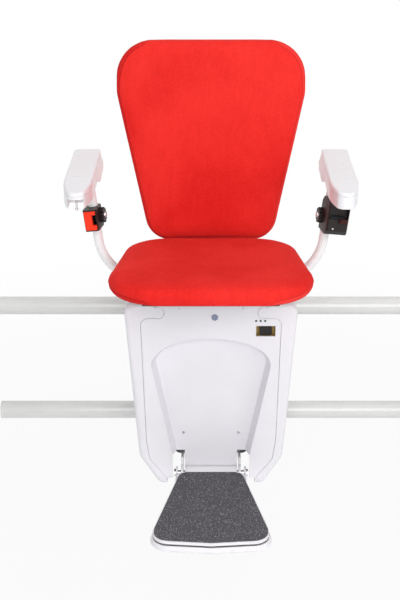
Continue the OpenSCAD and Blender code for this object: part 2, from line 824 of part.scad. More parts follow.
module rocker_switch() color("black") {
    z = [window_z + rocker_gap, window_z + window_h - rocker_gap];
    translate([switch_x, rocker_y, 0]) intersection() {
        level(z[0], z[1]) polygon([[-rocker_half, rocker_back], [-rocker_half, -rocker_set],
            [0, rocker_dip - rocker_set], [rocker_half, -rocker_set], [rocker_half, rocker_back]]);
        fore(-rocker_set - cut, rocker_back + cut) polygon(outline([
            [-rocker_half, z[0], rocker_round], [rocker_half, z[0], rocker_round],
            [rocker_half, z[1], rocker_round], [-rocker_half, z[1], rocker_round]]));
    }
    rod_z(rocker_pin, window_z - bezel_wall, window_z + window_h + bezel_wall, switch_x, rocker_y);
}
module control_board() color("seagreen") {
    block(board_x, [bezel_back, bezel_back + board_thick], board_z);
    for (p = pillar_places) rod_y(pillar_r, bezel_front, bezel_back, p.x, p.y);
    for (x = [board_x[0] + chip_drop, board_x[1] - chip_size.x - chip_drop])
        block([x, x + chip_size.x], [bezel_back + board_thick, bezel_back + board_thick + chip_size.z],
            [board_z[0] + chip_drop, board_z[0] + chip_drop + chip_size.y]);
}

// Seat post on the deck

module seat_post() color("dimgray") difference() {
    union() {
        rod_z(post_foot, deck_top, deck_top + post_foot_h, 0, post_y);
        rod_z(post_r, deck_top, cover_top + gap, 0, post_y);
        rod_z(post_ring, cover_top + gap, swivel_z - gap, 0, post_y);
    }
    rod_z(spindle_r + run_fit, deck_top - cut, swivel_z, 0, post_y);
}

// Footrest hinge

module hinge_brackets() color("white") pair() difference() {
    across(cheek_x, cheek_x + cheek_w) polygon(outline([
        [foot_y - cheek_front, foot_z - cheek_under, cheek_round], [plate_front, foot_z - cheek_under, 0],
        [plate_front, foot_z + cheek_tail, 0], [foot_y + cheek_run, foot_z + cheek_rise, 0],
        [foot_y + cheek_behind, foot_z + cheek_rise, cheek_nose],
        [foot_y + cheek_behind, foot_z + cheek_tail, 0],
        [foot_y - cheek_front, foot_z + cheek_tail, cheek_round]]));
    rod_x(foot_shaft_r, cheek_x - cut, cheek_x + cheek_w + cut, foot_y, foot_z);
}
module hinge_fairing() color("white") difference() {
    rod_x(barrel_r, -barrel_half, barrel_half, foot_y, foot_z);
    rod_x(foot_shaft_r, -barrel_half - cut, barrel_half + cut, foot_y, foot_z);
}
foot_shaft_end = arm_bar_x + arm_bar_w + gap;
module footrest_shaft() color("silver") {
    rod_x(foot_shaft_r, -foot_shaft_end - foot_nut_h, foot_shaft_end + foot_nut_h, foot_y, foot_z);
    pair() rod_x(foot_nut_r, foot_shaft_end, foot_shaft_end + foot_nut_h, foot_y, foot_z);
}

// Footrest

foot_front_y = foot_rear_y - foot_length;
// Plan of the mat, grown for the plate and the pan, with its rear edge cut back
function foot_plan(grow, rear) = outline(both([
    [mat_width / 2 + grow, foot_front_y - grow + mat_bow, mat_front_round + grow],
    [mat_width / 2 + grow, foot_front_y + mat_side_run, mat_front_round],
    [mat_rear_half - mat_rear_round / 2 + grow, foot_rear_y - rear, rear > 0 ? 0 : mat_rear_round]]));
module foot_form(grow, rear, z0, z1) level(z0, z1)
    polygon(concat([[0, foot_front_y - grow]], foot_plan(grow, rear)));
module footrest_mat() color("dimgray") foot_form(0, 0, foot_top - mat_thick, foot_top);
plate_low = foot_top - mat_thick - foot_plate;
module footrest_plate() color("white") difference() {
    foot_form(plate_lip, 0, plate_low, foot_top - mat_thick);
    pair() block([arm_bar_x, arm_bar_x + arm_bar_w], [foot_y - arm_bar_length, 0],
        [plate_low - cut, plate_low + arm_bar_h]);
    pair() for (p = guide_places)
        rod_z(guide_r + guide_clear, plate_low - cut, plate_low + guide_length, p.x, foot_rear_y - p.y);
}
module footrest_arms() color("white") pair() difference() {
    union() {
        rod_x(arm_boss, arm_bar_x, arm_bar_x + arm_bar_w, foot_y, foot_z);
        across(arm_bar_x, arm_bar_x + arm_bar_w) polygon([[foot_y, foot_z - arm_boss],
            [foot_y - gusset_run, plate_low], [foot_y - arm_bar_length, plate_low],
            [foot_y - arm_bar_length, plate_low + arm_bar_h], [foot_y, plate_low + arm_bar_h]]);
    }
    rod_x(foot_shaft_r + run_fit, arm_bar_x - cut, arm_bar_x + arm_bar_w + cut, foot_y, foot_z);
}
pan_top = plate_low - pan_travel - gap;
module safety_pan() color("whitesmoke") {
    difference() {
        hull() {
            foot_form(pan_lip - pan_flare, pan_rear, pan_top - pan_edge / 2, pan_top);
            foot_form(pan_lip, pan_rear, pan_top - pan_high + pan_edge, pan_top - pan_high + 4 / 3 * pan_edge);
            foot_form(pan_lip - pan_edge, pan_rear + pan_edge, pan_top - pan_high, pan_top - pan_high / 2);
        }
        foot_form(pan_lip - 2 * pan_edge, pan_rear + 2 * pan_edge, pan_top - pan_high + pan_edge,
            pan_top + cut);
    }
    pair() for (p = guide_places)
        rod_z(guide_r, pan_top - pan_high + pan_edge, pan_top + guide_length, p.x, foot_rear_y - p.y);
}

// Swivel and seat frame

module swivel_plate() color("dimgray") {
    level(swivel_z, frame_base) polygon(outline(both([
        [swivel_half, swivel_front, swivel_round], [swivel_half, swivel_rear, swivel_round]])));
    rod_z(spindle_r, deck_top + spindle_floor, swivel_z, 0, post_y);
}
module seat_frame() color("dimgray") difference() {
    union() {
        pair() across(rail_plate_x, rail_plate_x + rail_plate_w) polygon(outline([
            [bar_y, frame_base, rail_plate_nose], [hinge_y + eye_r, frame_base, 0],
            [hinge_y + eye_r, hinge_z + eye_r, eye_r - gap], [hinge_y - eye_r, hinge_z + eye_r,
                eye_r - gap],
            [hinge_y - 2 * eye_r, frame_base + rail_plate_h, eye_r], [bar_y,
                frame_base + rail_plate_h, 0]]));
        across(-bar_half, bar_half) polygon(outline([
            [bar_y - bar_deep / 2, frame_base + bar_round, bar_round],
            [bar_y + bar_deep / 2, frame_base + bar_round, bar_round],
            [bar_y + bar_deep / 2, pan_z - buffer_h, bar_round], [bar_y - bar_deep / 2, pan_z - buffer_h,
                bar_round]]));
        pair() rod_x(collar_r, rail_plate_x, rail_plate_x + rail_plate_w + collar_w, arm_y, arm_z);
        block([lever_x - lever_ear_w / 2, lever_x + lever_ear_w / 2],
            [lever_y + lever_r + gap, lever_y + lever_r + gap + lever_ear], [lever_z - lever_ear_w / 2,
                lever_z + lever_ear_w / 2]);
        block([rail_plate_x, lever_x], [lever_y + lever_r + gap, lever_y + lever_r + gap + lever_ear],
            [lever_z - lever_ear_w / 2, lever_z + lever_ear_w / 2]);
    }
    pair() rod_x(hinge_r, rail_plate_x - cut, rail_plate_x + rail_plate_w + cut, hinge_y, hinge_z);
    pair() rod_x(arm_r, rail_plate_x + rail_plate_w, rail_plate_x + rail_plate_w + collar_w + cut, arm_y,
        arm_z);
    rod_y(lever_pivot_r, lever_y, lever_y + lever_r + 2 * lever_ear, lever_x, lever_z);
}
module pivot_pins() color("silver") {
    pair() {
        rod_x(hinge_r, lug_x - pin_over, rail_plate_x + rail_plate_w, hinge_y, hinge_z);
        rod_x(hinge_head, rail_plate_x + rail_plate_w, rail_plate_x + rail_plate_w + pin_over, hinge_y,
            hinge_z);
        rod_x(arm_pin_r, arm_spread - arm_pin_half, arm_spread + arm_pin_half, arm_y, pivot_z);
    }
    rod_y(lever_pivot_r, lever_y - lever_r - pin_over, lever_y + lever_r + gap + lever_ear, lever_x,
        lever_z);
}
module seat_buffers() color("black") pair() rod_z(buffer_r, pan_z - buffer_h, pan_z - gap, buffer_x, bar_y);
module swivel_lever() color("black") difference() {
    union() {
        rod_y(lever_r + pin_over, lever_y - lever_r, lever_y + lever_r, lever_x, lever_z);
        rod_x(lever_r, lever_x, lever_x + lever_length - lever_knob_l, lever_y, lever_z);
        rod_x(lever_knob_r, lever_x + lever_length - lever_knob_l, lever_x + lever_length, lever_y,
            lever_z);
    }
    rod_y(lever_pivot_r + run_fit, lever_y - lever_r - cut, lever_y + lever_r + cut, lever_x, lever_z);
}

// Seat

seat_half = seat_width / 2;
seat_corner = seat_half + seat_taper * seat_front_round;
function seat_plan(inset) = outline(both([
    [seat_corner - inset, seat_front_y + inset, seat_front_round - inset],
    [seat_corner - seat_taper * seat_depth - inset, seat_rear_y - inset, seat_rear_round - inset]]));
module seat_pan() color("black") difference() {
    union() {
        level(pan_z, cushion_z) polygon(seat_plan(pan_inset));
        pair() across(lug_x, lug_x + lug_w) polygon(outline([
            [hinge_y - lug_length, pan_z, 0], [hinge_y - eye_r, hinge_z - eye_r, eye_r - gap],
            [hinge_y + eye_r, hinge_z - eye_r, eye_r - gap], [hinge_y + eye_r, pan_z, 0]]));
    }
    pair() rod_x(hinge_r + run_fit, lug_x - cut, lug_x + lug_w + cut, hinge_y, hinge_z);
}
module seat_cushion() color("red") translate([0, 0, cushion_z])
    cushion(seat_plan(0), cushion_thick, crown, seat_draw);

// Backrest, drawn in the front view and stood upright

back_half = back_width / 2;
back_top = back_z + back_height;
function back_plan(inset) = outline(both([
    [back_half * back_low_share - inset, back_z + inset, back_low_round - inset],
    [back_half - inset, back_top - back_side_drop, back_side_round],
    [back_half * back_top_share - inset, back_top - inset, back_top_round - inset]]));
module back_cushion() color("red") translate([0, back_rear_y, 0]) rotate([90, 0, 0])
    cushion(back_plan(0), back_thick, crown, back_draw);
module back_shell() color("black") hull() {
    fore(back_rear_y, back_rear_y + shell_thick - shell_edge) polygon(back_plan(shell_inset));
    fore(back_rear_y, back_rear_y + shell_thick) polygon(back_plan(shell_inset + shell_edge));
}
bracket_y = back_rear_y + shell_thick;
module back_brackets() color("dimgray") {
    pair() across(bracket_x, bracket_x + bracket_w) polygon(outline([
        [swivel_rear - bracket_lap, frame_base, 0], [bracket_y + bracket_thick, frame_base, bracket_bend],
        [bracket_y + bracket_thick, back_z + bracket_top, 0], [bracket_y, back_z + bracket_top, 0],
        [bracket_y, frame_base + bracket_thick, bracket_bend - bracket_thick],
        [swivel_rear - bracket_lap, frame_base + bracket_thick, 0]]));
    block([-bracket_x, bracket_x], [bracket_y, bracket_y + bracket_thick],
        [back_z + bracket_top - bracket_tie, back_z + bracket_top]);
}

// Arms

low_end = [bend_x + low_bend * sin(low_turn), arm_z + low_bend * (1 - cos(low_turn))];
high_end = [low_end.x + high_bend * (cos(arm_lean) - sin(low_turn)),
    low_end.y + high_bend * (cos(low_turn) - sin(arm_lean))];
// Bend of the tube about a centre, short of its ends by the space that the joint rings fill
module tube_bend(r, from, turn, centre) {
    short = weld / r * 180 / PI;
    translate([centre.x, 0, centre.y]) rotate([90, 0, 0]) rotate([0, 0, from + short])
        rotate_extrude(angle = turn - 2 * short) translate([r, 0]) circle(arm_r);
}
module joint_ring(place, lean) translate([place.x, 0, place.y]) rotate([0, lean, 0])
    rod_z(arm_r + weld_rise, -2 * weld, 2 * weld, 0, 0);
// Level at the seat frame, then bent up in two arcs, straight to the pivot
module arm_tube() color("whitesmoke") translate([0, arm_y, 0]) {
    straight = (pivot_z - high_end.y) / cos(arm_lean) - knuckle_r - knuckle_neck;
    rod_x(arm_r, rail_plate_x + rail_plate_w, bend_x - weld, 0, arm_z);
    tube_bend(low_bend, -90, low_turn, [bend_x, arm_z + low_bend]);
    tube_bend(high_bend, low_turn - 90, high_turn,
        [low_end.x - high_bend * sin(low_turn), low_end.y + high_bend * cos(low_turn)]);
    translate([high_end.x, 0, high_end.y]) rotate([0, arm_lean, 0]) rod_z(arm_r, weld, straight, 0, 0);
    joint_ring([bend_x, arm_z], 90);
    joint_ring(low_end, 90 - low_turn);
    joint_ring(high_end, arm_lean);
}
module arm_tube_right() arm_tube();
module arm_tube_left() mirror([1, 0, 0]) arm_tube();
module arm_knuckles() color("silver") pair() difference() {
    union() {
        rod_x(knuckle_r, arm_spread - knuckle_half, arm_spread + knuckle_half, arm_y, pivot_z);
        translate([arm_spread, arm_y, pivot_z]) rotate([0, arm_lean, 0])
            rod_z(arm_r, -knuckle_r - knuckle_neck, -knuckle_neck, 0, 0);
    }
    rod_x(arm_pin_r, arm_spread - 2 * knuckle_half, arm_spread + 2 * knuckle_half, arm_y, pivot_z);
}

// Arm pad in its own frame: pivot at the origin, front towards -Y
pad_front_y = pad_rear - pad_length;
pad_half = pad_width / 2;
pad_high = pad_top - pivot_z;
pad_nose = [[nose_flat, pad_front_y, nose_round], [pad_half, pad_front_y + nose_taper, nose_bow]];
function pad_plan(inset) = outline(grown(both(concat(pad_nose, [[pad_half, pad_rear, pad_rear_round]])),
    -inset));
module at_pivot() translate([arm_spread, arm_y, pivot_z]) children();
module arm_cap() color("white") at_pivot() rotate([0, 0, -toe_in]) hull() {
    level(pad_high - cap_thick, pad_high - cap_edge) polygon(pad_plan(0));
    level(pad_high - cap_edge, pad_high - cap_edge / 3) polygon(pad_plan(cap_edge / 4));
    level(pad_high - cap_edge, pad_high) polygon(pad_plan(cap_edge));
}
module arm_shell() color("white") at_pivot() difference() {
    rotate([0, 0, -toe_in]) intersection() {
        level(-pad_depth, pad_high - cap_thick) polygon(outline([
            each pad_nose, [pad_half, pad_rear, pad_rear_round],
            [-pad_half - pad_flare, pad_rear, pad_rear_round], [-pad_half - pad_flare,
                pad_rear - deep_length, flare_run],
            [-pad_half, pad_rear - deep_length - slope_length, flare_run],
            [-pad_half, pad_front_y + nose_taper, nose_bow], [-nose_flat, pad_front_y, nose_round]]));
        fore(pad_front_y - cut, pad_rear + cut) polygon(outline([
            [-pad_half - pad_flare, pad_high - pad_depth, pad_foot_round], [pad_half,
                pad_high - pad_depth, pad_foot_round],
            [pad_half, pad_high, 0], [-pad_half, pad_high, 0], [-pad_half, pad_high - flare_from,
                flare_from],
            [-pad_half - pad_flare, pad_high - flare_to, flare_from]]));
        across(-pad_width, pad_width) polygon(outline([
            [pad_rear + cut, pad_high - pad_depth, pad_soft], [pad_rear - deep_length,
                pad_high - pad_depth, pad_soft],
            [pad_rear - deep_length - slope_length, pad_high - nose_depth, pad_soft],
            [pad_front_y - cut, pad_high - nose_depth, 0], [pad_front_y - cut, pad_high, 0],
                [pad_rear + cut, pad_high, 0]]));
    }
    block([-pocket_in, pocket_out], [-pocket_front, 2 * pad_rear], [-pad_depth, pocket_over]);
    rod_x(arm_pin_r + run_fit, -arm_pin_half - gap, arm_pin_half + gap, 0, 0);
}
// Hollow in the nose with the socket that holds the stick's ball
module nose_pocket() at_pivot() rotate([0, 0, -toe_in]) {
    block([-nose_pocket_half, nose_pocket_half], [pad_front_y - cut, pad_front_y + nose_pocket_length],
        [pad_high - nose_depth - cut, pad_high - nose_pocket_high]);
    translate([0, pad_front_y + stick_y,
        pad_high - nose_pocket_high + stick_sink]) sphere(stick_ball + run_fit);
}
module arm_cap_right() arm_cap();
module arm_cap_left() mirror([1, 0, 0]) arm_cap();
module arm_shell_right() arm_shell();
module arm_shell_left() color("white") mirror([1, 0, 0]) difference() {
    arm_shell();
    nose_pocket();
}
// Spring-returned stick in the nose of the left pad
module toggle_stick() color("silver") mirror([1, 0, 0]) at_pivot() rotate([0, 0, -toe_in])
    translate([0, pad_front_y + stick_y, pad_high - nose_pocket_high + stick_sink]) {
        sphere(stick_ball);
        rod_z(stick_r, -stick_length, 0, 0, 0);
        translate([0, 0, -stick_length]) sphere(stick_tip);
    }

// Belt fittings

function tube_x(z) = arm_spread - (pivot_z - z) * tan(arm_lean);
module at_tube(yaw) translate([tube_x(belt_z), arm_y, belt_z]) rotate([0, arm_lean, 0]) rotate([0, 0,
    yaw]) children();
// Box with rounded upright edges round the tube
module belt_box(x, y, z, r) difference() {
    level(z[0], z[1]) polygon(outline([[x[0], y[0], r], [x[1], y[0], r], [x[1], y[1], r], [x[0], y[1],
        r]]));
    rod_z(arm_r, z[0] - cut, z[1] + cut, 0, 0);
}
key_back = -buckle_front - key_proud + key_thick;
module buckle_housing() color("black") mirror([1, 0, 0]) at_tube(belt_yaw) difference() {
    belt_box([-buckle_half, buckle_half], [-buckle_front, buckle_back], [-buckle_down, buckle_up],
        buckle_round);
    block([-buckle_half + key_margin, buckle_half - key_margin], [-buckle_front - cut,
        key_back + key_travel + gap],
        [-buckle_down + key_margin, buckle_up - key_margin]);
    block([-buckle_half + key_margin, -buckle_half + key_margin + key_notch],
        [-buckle_front - cut, -buckle_front + slot_deep], [-key_notch_up, key_notch_up]);
    rod_x(bolt_r, -buckle_half - cut, 0, 0, 0);
}
module buckle_button() color("red") mirror([1, 0, 0]) at_tube(belt_yaw) difference() {
    block([-buckle_half + key_margin + gap, buckle_half - key_margin - gap], [-buckle_front - key_proud,
        key_back],
        [-buckle_down + key_margin + gap, buckle_up - key_margin - gap]);
    block([-buckle_half, -buckle_half + key_margin + key_notch], [-buckle_front - key_proud - cut,
        key_back + cut],
        [-key_notch_up, key_notch_up]);
}
module reel_housing() color("black") at_tube(reel_yaw) difference() {
    intersection() {
        level(-reel_down, reel_up) polygon(outline([[-reel_in, -reel_front, reel_round],
            [reel_out, -reel_front, reel_round], [reel_out, reel_back, reel_round], [-reel_in, reel_back,
                reel_round]]));
        across(-reel_in, reel_out) polygon(outline([[-reel_front, -reel_down + reel_chin, reel_round],
            [-reel_front + reel_chin, -reel_down, reel_round], [reel_back, -reel_down, reel_round],
            [reel_back, reel_up - reel_nape, reel_round], [reel_back - reel_nape, reel_up, reel_round],
            [-reel_front, reel_up, reel_round]]));
    }
    rod_z(arm_r, -reel_down - cut, reel_up + cut, 0, 0);
    rod_x(drum_r + drum_clear, drum_x - drum_half - gap, drum_x + drum_half + gap, drum_y, drum_z);
    rod_x(journal_r + run_fit, drum_x - drum_half - journal_l - gap, drum_x + drum_half + journal_l + gap,
        drum_y, drum_z);
    block([mouth[0], mouth[1]], [-reel_front - cut, -reel_front + mouth_depth], [mouth[2], mouth[3]]);
    rod_x(bolt_r, -reel_in - cut, 0, 0, 0);
    rod_y(rivet_r, -reel_front - cut, -reel_front + rivet_deep, rivet_place.x, rivet_place.y);
}
module reel_drum() color("dimgray") at_tube(reel_yaw) {
    rod_x(drum_core, drum_x - drum_half, drum_x + drum_half, drum_y, drum_z);
    for (x = [drum_x - drum_half, drum_x + drum_half - drum_flange])
        rod_x(drum_r, x, x + drum_flange, drum_y, drum_z);
    rod_x(journal_r, drum_x - drum_half - journal_l, drum_x + drum_half + journal_l, drum_y, drum_z);
}
module belt_tongue() color("saddlebrown") at_tube(reel_yaw) translate([tongue_place.x, -reel_front,
    tongue_place.y])
    level(-tongue_size.z / 2, tongue_size.z / 2) polygon(outline([
        [0, -tongue_size.y, tongue_round], [tongue_size.x, -tongue_size.y, tongue_round],
        [tongue_size.x, 0, 0], [0, 0, 0]]));
// Star knob that clamps a fitting to the tube, with the bolt that goes through it
module belt_knob(yaw, face) at_tube(yaw) difference() {
    across(-face - knob_thick, -face) {
        circle(knob_core);
        for (i = [1 : knob_lobes]) rotate(360 * i / knob_lobes) translate([lobe_at, 0]) circle(lobe_r);
    }
    rod_x(bolt_r, -face - knob_thick - cut, -face + cut, 0, 0);
}
module belt_knobs() color("black") {
    mirror([1, 0, 0]) belt_knob(belt_yaw, buckle_half);
    belt_knob(reel_yaw, reel_in);
}
module belt_bolt(yaw, face) at_tube(yaw) {
    rod_x(bolt_r, -face - knob_thick, -arm_r, 0, 0);
    translate([-face - knob_thick, 0, 0]) intersection() {
        scale([dome_h / dome_r, 1, 1]) sphere(dome_r);
        block([-dome_r, 0], [-dome_r, dome_r], [-dome_r, dome_r]);
    }
}
module belt_bolts() color("silver") {
    mirror([1, 0, 0]) belt_bolt(belt_yaw, buckle_half);
    belt_bolt(reel_yaw, reel_in);
    at_tube(reel_yaw) rod_y(rivet_r, -reel_front - rivet_r / 2, -reel_front + rivet_deep, rivet_place.x,
        rivet_place.y);
}

upper_rail();
lower_rail();
drive_rack();
carriage_frame();
roller_axles();
gearbox();
motor();
batteries();
control_board();
cover_centre();
cover_left();
cover_right();
cover_rear();
cover_top();
panel_screws();
status_lights();
switch_bezel();
seat_post();
hinge_brackets();
hinge_fairing();
footrest_shaft();
top_roller_left();
top_roller_right();
under_roller_left();
under_roller_right();
thrust_roller_left();
thrust_roller_right();
drive_pinion();
drive_shaft();
power_button();
rocker_switch();
footrest_plate();
footrest_mat();
footrest_arms();
safety_pan();
swivel_plate();
seat_frame();
pivot_pins();
seat_buffers();
back_brackets();
back_shell();
back_cushion();
arm_tube_left();
arm_tube_right();
arm_knuckles();
swivel_lever();
seat_pan();
seat_cushion();
arm_cap_left();
arm_shell_left();
arm_cap_right();
arm_shell_right();
toggle_stick();
buckle_housing();
buckle_button();
reel_housing();
reel_drum();
belt_tongue();
belt_knobs();
belt_bolts();
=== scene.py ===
import json
import math
import bmesh
import bpy
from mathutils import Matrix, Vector, kdtree, noise
from mathutils.bvhtree import BVHTree


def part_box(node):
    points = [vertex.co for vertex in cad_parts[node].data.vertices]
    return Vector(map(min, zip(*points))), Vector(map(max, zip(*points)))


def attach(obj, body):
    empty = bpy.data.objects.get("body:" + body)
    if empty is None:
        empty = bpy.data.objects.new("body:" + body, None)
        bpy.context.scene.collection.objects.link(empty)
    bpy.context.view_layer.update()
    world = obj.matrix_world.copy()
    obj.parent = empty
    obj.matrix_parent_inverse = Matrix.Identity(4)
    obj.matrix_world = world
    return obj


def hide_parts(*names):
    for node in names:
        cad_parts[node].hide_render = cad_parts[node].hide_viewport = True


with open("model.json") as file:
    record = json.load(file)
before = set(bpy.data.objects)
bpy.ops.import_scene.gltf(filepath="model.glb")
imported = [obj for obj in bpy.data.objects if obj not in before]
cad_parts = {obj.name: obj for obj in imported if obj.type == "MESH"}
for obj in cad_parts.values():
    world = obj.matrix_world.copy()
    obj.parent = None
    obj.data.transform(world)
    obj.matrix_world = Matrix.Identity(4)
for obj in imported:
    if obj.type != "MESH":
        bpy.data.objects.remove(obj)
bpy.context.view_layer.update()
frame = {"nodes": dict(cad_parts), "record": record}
nodes = frame["nodes"]
bodyOf = {n: body for body, names in frame["record"]["behaviour"]["bodies"].items() for n in names}
slotOf = {s["node"]: s["material_slot"] for s in frame["record"]["subparts"]}
print("frame loaded:", len(nodes), "nodes")


# Camera, floor and lamps

cameraSpot = {"place": (0, -2.4883, 0.9171), "down": 19.94, "lens": 63.87, "shift": -0.0183}


def placeCamera(spot):
    data = bpy.data.cameras.new("photoCamera")
    data.lens = spot["lens"]
    data.sensor_width = 36
    data.shift_x = spot["shift"]
    camera = bpy.data.objects.new("photoCamera", data)
    camera.location = spot["place"]
    camera.rotation_euler = (math.radians(90 - spot["down"]), 0, 0)
    bpy.context.scene.collection.objects.link(camera)
    bpy.context.scene.camera = camera


lookAt = (0, -0.2, 0.1)
softboxes = [  # place, point it looks at, size, power and tint of each lamp
    {"name": "frontBox", "place": (0.3, -3.2, 1.1), "at": lookAt, "size": 2.0, "power": 51, "tint": (1, 0.99, 0.99)},
    {"name": "rightBox", "place": (3.5, -2.5, 2.3), "at": lookAt, "size": 2.0, "power": 37, "tint": (1, 0.99, 0.98)},
    {"name": "leftBox", "place": (-2.5, -1.4, 1.4), "at": lookAt, "size": 2.0, "power": 4, "tint": (1, 1, 1)},
    {"name": "topBox", "place": (0.2, -0.3, 2.9), "at": (0, -0.2, 0), "size": 2.2, "power": 12, "tint": (1, 1, 1)},
    {"name": "backBox", "place": (0, 2.4, 2.8), "at": (0, 0, 0.2), "size": 2.2, "power": 12, "tint": (1, 1, 1)},
]


def placeLamps(boxes):
    for box in boxes:
        data = bpy.data.lights.new(box["name"], "AREA")
        data.shape = "SQUARE"
        data.size = box["size"]
        data.energy = box["power"]
        data.color = box["tint"]
        lamp = bpy.data.objects.new(box["name"], data)
        lamp.location = box["place"]
        aim = Vector(box["at"]) - Vector(box["place"])
        lamp.rotation_euler = aim.to_track_quat("-Z", "Y").to_euler()
        bpy.context.scene.collection.objects.link(lamp)


# Shader maths: a socket that can be added, multiplied and so on

class Term:
    def __init__(self, finish, socket):
        self.finish = finish
        self.socket = socket

    def work(self, operation, a, b=None, c=None):
        values = {i: v for i, v in enumerate((a, b, c)) if v is not None}
        return self.finish.node("ShaderNodeMath", {"operation": operation}, values).out()

    def __add__(self, other): return self.work("ADD", self, other)
    def __radd__(self, other): return self.work("ADD", other, self)
    def __sub__(self, other): return self.work("SUBTRACT", self, other)
    def __rsub__(self, other): return self.work("SUBTRACT", other, self)
    def __mul__(self, other): return self.work("MULTIPLY", self, other)
    def __rmul__(self, other): return self.work("MULTIPLY", other, self)
    def __pow__(self, other): return self.work("POWER", self, other)
    def above(self, level): return self.work("GREATER_THAN", self, level)

    def ramp(self, low, high):
        return self.finish.node("ShaderNodeMapRange", {"interpolation_type": "SMOOTHSTEP"},
                                {"Value": self, "From Min": low, "From Max": high}).out("Result")


class Made:
    def __init__(self, finish, node):
        self.finish = finish
        self.node = node

    def out(self, name=0):
        return Term(self.finish, self.node.outputs[name])


class Finish:
    def __init__(self, name, colour, roughness, **constants):
        self.material = bpy.data.materials.new(name)
        self.material.use_nodes = True
        self.tree = self.material.node_tree
        self.shader = self.tree.nodes["Principled BSDF"]
        self.material.diffuse_color = (*colour, 1)
        self.give("Base Color", (*colour, 1))
        self.give("Roughness", roughness)
        for key, value in constants.items():
            self.give(key.replace("_", " "), value)
        self.colour = colour

    def node(self, kind, settings=None, values=None):
        made = self.tree.nodes.new(kind)
        for key, value in (settings or {}).items():
            setattr(made, key, value)
        for key, value in (values or {}).items():
            self.feed(made.inputs[key], value)
        return Made(self, made)

    def feed(self, socket, value):
        if isinstance(value, Term):
            self.tree.links.new(value.socket, socket)
        else:
            socket.default_value = value

    def give(self, name, value):
        self.feed(self.shader.inputs[name], value)

    def place(self, stretch=(1, 1, 1), turn=(0, 0, 0)):
        where = self.node("ShaderNodeTexCoord").out("Object")
        return self.node("ShaderNodeMapping", None, {"Vector": where, "Scale": stretch, "Rotation": turn}).out()

    def grain(self, scale, detail=2.0, roughness=0.5, where=None):
        return self.node("ShaderNodeTexNoise", None, {"Vector": where or self.place(), "Scale": scale,
                         "Detail": detail, "Roughness": roughness}).out("Fac")

    def cells(self, scale, where=None, what="Distance"):
        return self.node("ShaderNodeTexVoronoi", None, {"Vector": where or self.place(), "Scale": scale}).out(what)

    def blend(self, share, low, high):
        pick = [(*c, 1) if isinstance(c, tuple) and len(c) == 3 else c for c in (low, high)]
        made = self.node("ShaderNodeMix", {"data_type": "RGBA"})
        self.feed(made.node.inputs[0], share)
        self.feed(made.node.inputs[6], pick[0])
        self.feed(made.node.inputs[7], pick[1])
        return made.out(2)

    def bump(self, height, distance, strength=1.0):
        made = self.node("ShaderNodeBump", None, {"Height": height, "Distance": distance, "Strength": strength})
        self.give("Normal", made.out("Normal"))

    def shade(self, amount):
        return tuple(c * amount for c in self.colour)


# Finishes, one for each material slot of the record

def moulded(name, colour, roughness, grainSize=900, grainDepth=0.00003, drift=0.03, **constants):
    finish = Finish(name, colour, roughness, **constants)
    cloud = finish.grain(7, 3, 0.55)
    finish.give("Base Color", finish.blend(cloud.ramp(0.3, 0.7), finish.shade(1 - drift), finish.shade(1.0)))
    finish.give("Roughness", finish.grain(34, 3) * 0.14 + (roughness - 0.07))
    finish.bump(finish.grain(grainSize, 2), grainDepth, 0.6)
    return finish


def painted(name, colour, roughness, peel=0.00002, **constants):
    finish = Finish(name, colour, roughness, **constants)
    dust = finish.grain(11, 4, 0.6)
    finish.give("Base Color", finish.blend(dust.ramp(0.35, 0.75), finish.shade(1.0), finish.shade(0.95)))
    finish.give("Roughness", finish.grain(60, 2) * 0.12 + (roughness - 0.06))
    finish.bump(finish.grain(260, 1), peel, 0.5)  # orange peel of sprayed paint
    return finish


def machined(name, colour, roughness, along=(1, 1, 1), scratch=0.00002):
    finish = Finish(name, colour, roughness, Metallic=1.0)
    lines = finish.grain(420, 2, 0.6, finish.place(along))
    finish.give("Base Color", finish.blend(finish.grain(18, 3).ramp(0.3, 0.8), finish.shade(0.9), finish.shade(1.0)))
    finish.give("Roughness", lines * 0.22 + (roughness - 0.11))
    finish.bump(lines, scratch, 0.5)
    return finish


def velour(name, colour):
    finish = Finish(name, colour, 0.85, Sheen_Weight=0.15, Sheen_Roughness=0.4, Sheen_Tint=(1, 0.2, 0.16, 1),
                    Specular_IOR_Level=0.15)
    where = finish.node("ShaderNodeSeparateXYZ", None, {0: finish.place()})
    side = where.out("X")
    high = where.out("Z").ramp(0.2, 0.62)  # painted highlight: the velour is made lighter towards the top, where the light falls on the upper back
    brushed = finish.grain(4.6, 3, 0.55, finish.place((1.2, 1.2, 1.0)))  # pile pressed by hand and use
    streak = finish.grain(90, 2, 0.5, finish.place((1.0, 1.0, 0.3)))  # cut rows of the pile
    pile = finish.grain(330, 4, 0.75)
    fromSeam = finish.node("ShaderNodeAttribute", {"attribute_name": "fromSeam"}).out("Fac")
    # pressed patches, rows and grain of the pile, plus the painted highlight at the top
    pileAndTopLight = brushed.ramp(0.36, 0.66) * 0.34 + streak.ramp(0.3, 0.7) * 0.1 + pile.ramp(0.3, 0.7) * 0.36 + high * 0.2
    plain = finish.blend(pileAndTopLight, (0.64, 0.008, 0.007), (0.90, 0.036, 0.028))
    paintedSideShade = finish.blend(side.ramp(-0.1, 0.1), (0.50, 0.009, 0.011), (0.86, 0.054, 0.046))  # painted shade and light: the boxing is darker on the -X side and lighter on the +X side, as the key lamp falls from the right
    # the side boxing takes the painted side shade
    sides = finish.blend(pileAndTopLight * 0.4 + 0.3, paintedSideShade, plain)
    whole = finish.blend(fromSeam.ramp(-0.0004, 0.0004), plain, sides)
    # painted shade: the velour is darkened within about 2 mm of each seam, where the sewn groove lies in shade
    near = fromSeam.work("ABSOLUTE", fromSeam).ramp(0.0019, 0.0002)
    finish.give("Base Color", finish.blend(near * 0.45, whole, (0.30, 0.004, 0.006)))
    finish.give("Roughness", 0.9 - pileAndTopLight * 0.14)
    finish.bump(pile * 0.7 + streak * 0.3, 0.0004, 0.4)
    return finish


